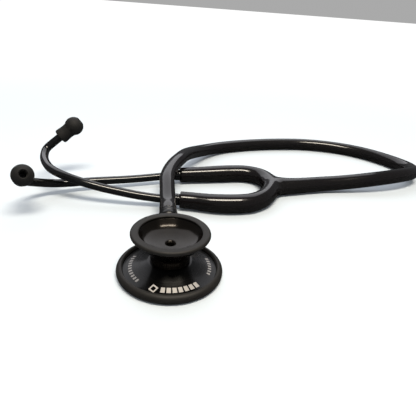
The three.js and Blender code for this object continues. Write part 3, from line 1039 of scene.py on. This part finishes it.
@dataclass
class Yoke:
    """The moulded fork: one skin over a trunk and two branches, and a sleeve for each arm."""

    radius: float = 5.7
    trunk_r: float = 5.12
    mouth_r: float = 5.0
    bore_r: float = 3.1
    bore_depth: float = 16.0
    fillet: float = 3.0
    voxel: float = 0.6
    trunk: list[Vector] = field(default_factory=lambda: [
        mm(99, 90.7, 5.7), mm(90.5, 89, 5.7), mm(82, 87.6, 5.7), mm(76, 87.2, 5.7),
    ])
    trunk_from: Vector = field(default_factory=lambda: mm(93, 89.5, 5.7))
    arms: dict[Side, list[Vector]] = field(default_factory=lambda: {
        Side.LEFT: [
            mm(69, 87.2, 5.7), mm(68.4, 84.5, 5.7), mm(66, 78.6, 5.7), mm(62.2, 71.9, 5.7),
            mm(57.4, 66.2, 5.7), mm(50, 61.5, 5.7), mm(43.4, 59.9, 5.7), mm(35, 59.5, 5.7),
            mm(26, 60.4, 5.7), mm(16.5, 62.7, 5.7), mm(7.7, 64.3, 5.7),
        ],
        Side.RIGHT: [
            mm(69, 87.2, 5.7), mm(68.9, 91, 5.7), mm(68.2, 96.6, 5.7), mm(65.8, 102, 5.7),
            mm(62, 105.4, 5.7), mm(55, 108.1, 5.7), mm(46, 107.9, 5.7), mm(37.5, 106.8, 5.7),
            mm(28, 105.4, 5.7), mm(18.8, 104.2, 5.7), mm(9.6, 102.9, 5.7),
        ],
    })

    def build(self, finishes: Finishes) -> None:
        """Makes the fork, its two arms, and dresses the leaf spring inside it."""
        routes = {side: Route(points, 1.2) for side, points in self.arms.items()}
        joints = {side: route.nearest(self.arms[side][4]) for side, route in routes.items()}
        self._fork(routes, joints, finishes)
        for side, route in routes.items():
            self._sleeve(side, route.after(joints[side]), finishes)
        spring = frame["nodes"]["yoke_spring"]
        spring.data.materials.clear()
        spring.data.materials.append(finishes.steel)

    def _fork(
        self, routes: dict[Side, Route], joints: dict[Side, int], finishes: Finishes
    ) -> None:
        """The branching part, from the tube's end to where each arm begins to turn.

        Args:
            routes: each arm's centreline, from the fork to its mouth.
            joints: the sample of each centreline that the arm's sleeve starts at.
            finishes: the object's finishes.
        """
        trunk = Route(self.trunk, 1.2)
        left, right = self.arms[Side.LEFT], self.arms[Side.RIGHT]
        bow = Route([*left[::-1], *right[1:]], 1.2)
        fork = Piece("yoke_fork")
        for route in (trunk, bow):
            fork.hose(route, lambda _: self.radius + 0.2, 32)
        fork.remeshed(self.voxel)
        start = trunk.nearest(self.trunk_from)
        spare = 4
        fork.trimmed(trunk.points()[start - spare], trunk.heading(start - spare))
        for side, route in routes.items():
            beyond = joints[side] + spare
            fork.trimmed(route.points()[beyond], -route.heading(beyond))
        self._press(fork, trunk, bow)
        fork.trimmed(trunk.points()[start], trunk.heading(start))
        for side, route in routes.items():
            fork.trimmed(route.points()[joints[side]], -route.heading(joints[side]))
        fork.done(finishes.tubing, "tubing_vinyl", "tubing", ["yoke"])

    def _press(self, fork: Piece, trunk: Route, bow: Route) -> None:
        """Moves every vertex onto the fork's rounded skin."""
        verts = fork.bm.verts[:]
        at = np.array([tuple(v.co) for v in verts])
        reach = 0.01 * MM
        for _ in range(5):
            outside = self._outside(at, trunk, bow)
            slope = np.stack([
                (self._outside(at + reach * np.eye(3)[k], trunk, bow) - outside) / reach
                for k in range(3)
            ], 1)
            slope /= np.maximum((slope**2).sum(1, keepdims=True), 0.05)
            at = at - slope * outside[:, None]
        for vert, place in zip(verts, at):
            vert.co = place

    def _outside(self, at: np.ndarray, trunk: Route, bow: Route) -> np.ndarray:
        """How far points lie outside the skin, in metres.

        The skin is a tube's wherever one centreline is near. Where the trunk meets the bow of
        the branches, their distances in plan are blended, and the fork stays as thick as a tube.
        """
        gaps, radii = [], []
        for route in (trunk, bow):
            a, b = route.samples[:-1, :2], route.samples[1:, :2]
            ab = b - a
            share = np.einsum("nmk,mk->nm", at[:, None, :2] - a[None], ab) / (ab**2).sum(1)
            foot = a[None] + np.clip(share, 0, 1)[..., None] * ab[None]
            gap = np.linalg.norm(at[:, None, :2] - foot, axis=2)
            gaps.append(gap.min(1))
            radii.append(np.full(len(at), self.radius * MM))
        ahead = np.array(trunk.heading(0))[:2]
        walked = (at[:, :2] - trunk.samples[0, :2]) @ ahead / trunk.length
        radii[0] = (self.trunk_r + (self.radius - self.trunk_r) * np.clip(walked, 0, 1) ** 2) * MM
        gaps, radii = np.stack(gaps), np.stack(radii)
        soft = self.fillet * MM
        least = gaps.min(0)
        weights = np.exp(-(gaps - least) / soft)
        plan = least - soft * np.log(weights.sum(0))
        radius = (weights * radii).sum(0) / weights.sum(0)
        return np.hypot(np.maximum(plan, 0), at[:, 2] - self.radius * MM) - radius

    def _sleeve(self, side: Side, route: Route, finishes: Finishes) -> None:
        """One arm, from the fork to its mouth, bored at its mouth for the ear tube."""
        whole = route.length / MM

        def radius_at(distance: float) -> float:
            """The arm slims towards its mouth."""
            share = min(1.0, max(0.0, (distance / whole - 0.4) / 0.5))
            return self.radius - (self.radius - self.mouth_r) * share**2 * (3 - 2 * share)

        arm = Piece(f"{side.value}_arm_sleeve").hose(route, radius_at, 56)
        mouth = route.points()[-1]
        lip = 0.7
        arm.opened(mouth, self.mouth_r - self.bore_r - 0.2, self.bore_depth, lip)
        node = f"{side.value}_yoke_arm"
        made = arm.done(finishes.tubing, "tubing_vinyl", None, [node])
        start = route.points()[0]
        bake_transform(made)


# ---- ear tubes and ear tips ---------------------------------------------------------------


@dataclass
class EarPiece:
    """One ear tube with its collar, its threaded bush and its soft tip."""

    side: Side
    bends: list[Vector]
    tube_r: float = 2.5
    wall: float = 0.7
    insert: float = 15.0
    collar_r: float = 3.5
    collar_length: float = 3.6
    bulb_r: float = 5.8
    bulb_at: float = 11.4
    tip_length: float = 17.0
    skirt_r: float = 4.7
    canal_r: float = 1.7

    def build(self, finishes: Finishes, yoke: Yoke) -> None:
        """Makes the ear tube and everything on it."""
        name = self.side.value
        base, direction = pivot(f"{name}_tip_spin"), axle(f"{name}_tip_spin")
        arm = yoke.arms[self.side]
        mouth, outward = arm[-1], (arm[-1] - arm[-2]).normalized()
        self._tube(finishes, mouth, outward, base, direction)
        self._collar(finishes, mouth, outward)
        self._screw(finishes, base, direction)
        self._tip(finishes, base, direction)

    def _tube(
        self, finishes: Finishes, mouth: Vector, outward: Vector, base: Vector, direction: Vector
    ) -> None:
        """The bent steel tube, from inside the arm to inside the ear tip."""
        name = self.side.value
        route = Route([
            mouth - outward * self.insert * MM, mouth - outward * self.insert * MM / 2,
            *self.bends, base - direction * 3 * MM, base + direction * 3 * MM,
        ], 0.8)
        tube = Piece(f"{name}_ear_tube_fine").hose(route, lambda _: self.tube_r, 40)
        for end in (0, -1):
            tube.opened(route.points()[end], self.wall, 5.0, 0.2)
        tube.done(finishes.enamel, "black_steel", f"{name}_ear", [f"{name}_ear_tube"])

    def _collar(self, finishes: Finishes, mouth: Vector, outward: Vector) -> None:
        """The ferrule that closes the arm's mouth, with a shallow groove."""
        inner, outer, length = self.tube_r + 0.3, self.collar_r, self.collar_length
        profile = filleted([
            (inner, 0.0), (outer - 0.2, 0.0, 0.1), (outer, 0.25, 0.2), (outer, 1.2, 0.1),
            (outer - 0.2, 1.4, 0.1), (outer, 1.6, 0.1), (outer, length - 0.5, 0.4),
            (inner + 0.3, length, 0.2), (inner, length),
        ])
        name = self.side.value
        collar = Piece(f"{name}_collar").turn(profile, 64)
        collar.placed(aimed(mouth + outward * 0.3 * MM, outward))
        collar.done(finishes.enamel, "black_steel", f"{name}_ear", [f"{name}_ear_collar"])

    def _screw(self, finishes: Finishes, base: Vector, direction: Vector) -> None:
        """The threaded bush inside the ear tip."""
        threads = [
            p for z in (4.0, 5.3, 6.6) for p in ((2.1, z), (2.4, z + 0.4, 0.1), (2.1, z + 0.8))
        ]
        profile = filleted([
            (0.8, 0.0), (1.45, 0.0, 0.1), (1.45, 3.3, 0.1), (2.4, 3.3, 0.1), (2.4, 3.7, 0.1),
            *threads, (2.1, 8.6, 0.1), (1.8, 9.0, 0.1), (0.8, 9.0),
        ], 3)
        name = self.side.value
        screw = Piece(f"{name}_tip_bush").turn(profile, 48).placed(aimed(base, direction))
        screw.done(finishes.enamel, "black_steel", f"{name}_ear", [f"{name}_tip_screw"])

    def _tip(self, finishes: Finishes, base: Vector, direction: Vector) -> None:
        """The soft tip: a skirt over the ear tube and a round bulb with its sound canal."""
        socket, skirt, end = self.tube_r + 0.35, self.skirt_r, self.tip_length
        profile = filleted([
            (socket, 0.0), (skirt - 0.5, 0.0, 0.2), (skirt, 0.5, 0.4), (skirt, 2.0, 1.5),
            (skirt - 0.3, 5.0, 2.0), (skirt - 0.1, 7.6, 1.0),
            *arc(0, self.bulb_at, self.bulb_r, -34, 60, 26), (2.55, end - 0.3, 0.3),
            (2.1, end - 0.7, 0.3), (self.canal_r, end - 2.6, 0.8), (self.canal_r, 9.6, 0.1),
            (socket, 9.6),
        ])
        name = self.side.value
        tip = Piece(f"{name}_soft_tip").turn(profile, 96).placed(aimed(base, direction))
        tip.done(finishes.tip, "tip_rubber", f"{name}_tip", [f"{name}_ear_tip"])


# ---- studio -------------------------------------------------------------------------------


@dataclass(frozen=True)
class Softbox:
    """One rectangular lamp that shines at a point on the table."""

    name: str
    place: tuple[float, float, float]
    target: tuple[float, float, float]
    size: tuple[float, float]
    power: float
    colour: tuple[float, float, float]

    def build(self) -> None:
        """Hangs the lamp."""
        light = bpy.data.lights.new(self.name, "AREA")
        light.shape = "RECTANGLE"
        light.size, light.size_y = self.size
        light.energy = self.power
        light.color = self.colour
        lamp = bpy.data.objects.new(self.name, light)
        lamp.location = self.place
        aim = Vector(self.target) - Vector(self.place)
        lamp.rotation_euler = aim.to_track_quat("-Z", "Y").to_euler()
        bpy.context.scene.collection.objects.link(lamp)


@dataclass
class Studio:
    """A white table under soft lamps, and the camera."""

    place: Vector = field(default_factory=lambda: Vector((-0.0069, -0.1523, 0.1102)))
    heading: float = -8.33
    dip: float = 26.64
    roll: float = 4.41
    lens: float = 35.02
    table_size: float = 30.0
    surround: float = 0.5
    overhead: float = 0.12
    overhead_colour: Colour = (0.9, 0.93, 1.0, 1.0)
    lamps: tuple[Softbox, ...] = (
        Softbox("key", (0.10, -0.25, 0.9), (0.03, 0.08, 0), (0.6, 0.2), 8.5, (1.0, 0.91, 0.77)),
        Softbox("back", (-0.05, 0.8, 0.75), (0.03, 0.08, 0), (1.4, 1.0), 5.5, (0.96, 0.96, 1.0)),
    )

    def camera(self) -> None:
        """Puts up the camera."""
        scene = bpy.context.scene
        data = bpy.data.cameras.new("camera")
        data.lens = self.lens
        data.sensor_width = 36.0
        data.clip_start, data.clip_end = 0.01, 60.0
        camera = bpy.data.objects.new("camera", data)
        turns = [(self.heading, "Z"), (90 - self.dip, "X"), (self.roll, "Z")]
        matrix = Matrix.Translation(self.place)
        for angle, about in turns:
            matrix = matrix @ Matrix.Rotation(math.radians(angle), 4, about)
        camera.matrix_world = matrix
        scene.collection.objects.link(camera)
        scene.camera = camera
        scene.view_settings.view_transform = "Standard"

    def build(self) -> None:
        """Lays the table top and lights it."""
        bm = bmesh.new()
        bmesh.ops.create_grid(bm, x_segments=1, y_segments=1, size=self.table_size / 2)
        mesh = bpy.data.meshes.new("table_top")
        bm.to_mesh(mesh)
        bm.free()
        mesh.materials.append(TableTop().make())
        table = bpy.data.objects.new("table_top", mesh)
        bpy.context.scene.collection.objects.link(table)
        for lamp in self.lamps:
            lamp.build()
        self._sky()

    def _sky(self) -> None:
        """An even mid-grey surround, dimmer in reflections."""
        world = bpy.data.worlds.new("surround")
        world.use_nodes = True
        bpy.context.scene.world = world
        nodes, links = world.node_tree.nodes, world.node_tree.links
        nodes.clear()
        path = nodes.new("ShaderNodeLightPath")
        plain, glossy = nodes.new("ShaderNodeBackground"), nodes.new("ShaderNodeBackground")
        plain.inputs["Strength"].default_value = self.surround
        glossy.inputs["Color"].default_value = self.overhead_colour
        glossy.inputs["Strength"].default_value = self.overhead
        mix, out = nodes.new("ShaderNodeMixShader"), nodes.new("ShaderNodeOutputWorld")
        links.new(path.outputs["Is Glossy Ray"], mix.inputs[0])
        links.new(plain.outputs[0], mix.inputs[1])
        links.new(glossy.outputs[0], mix.inputs[2])
        links.new(mix.outputs[0], out.inputs["Surface"])


# ---- the whole object ---------------------------------------------------------------------


def ear_pieces() -> list[EarPiece]:
    """Both ear pieces, each with the listed bends of its tube."""
    left = [
        mm(7.7, 64.3, 5.7), mm(-3, 66.1, 5.4), mm(-15.9, 67.2, 6.6), mm(-27.6, 68.4, 8.4),
        mm(-39.2, 70.1, 10.4), mm(-50.9, 72.6, 12.8), mm(-62.3, 77.4, 15), mm(-69.1, 83.2, 16),
        mm(-73, 89.8, 16.4), mm(-75.9, 96.8, 17), mm(-77.2, 103.1, 18), mm(-76.8, 107.8, 20),
    ]
    right = [
        mm(9.6, 102.9, 5.7), mm(-1.5, 100.8, 5.4), mm(-17, 96.8, 5.1), mm(-29.6, 93.4, 5.3),
        mm(-41.7, 90.3, 5.7), mm(-53.2, 86.8, 6.1), mm(-63.8, 82.6, 6.9), mm(-71, 78.8, 8.5),
        mm(-76.4, 74, 11), mm(-79.4, 69, 13.7),
    ]
    return [EarPiece(Side.LEFT, left), EarPiece(Side.RIGHT, right)]


def main() -> None:
    """Builds the camera, the tube, the head, the yoke, the ear pieces and the studio."""
    logging.basicConfig(level=logging.INFO, format="%(name)s %(message)s")
    studio = Studio()
    studio.camera()
    finishes = Finishes()
    Tubing().build(finishes)
    Chestpiece().build(finishes)
    ValveStem().build(finishes)
    yoke = Yoke()
    yoke.build(finishes)
    for ear_piece in ear_pieces():
        ear_piece.build(finishes, yoke)
    studio.build()


if __name__ == "__main__":
    main()
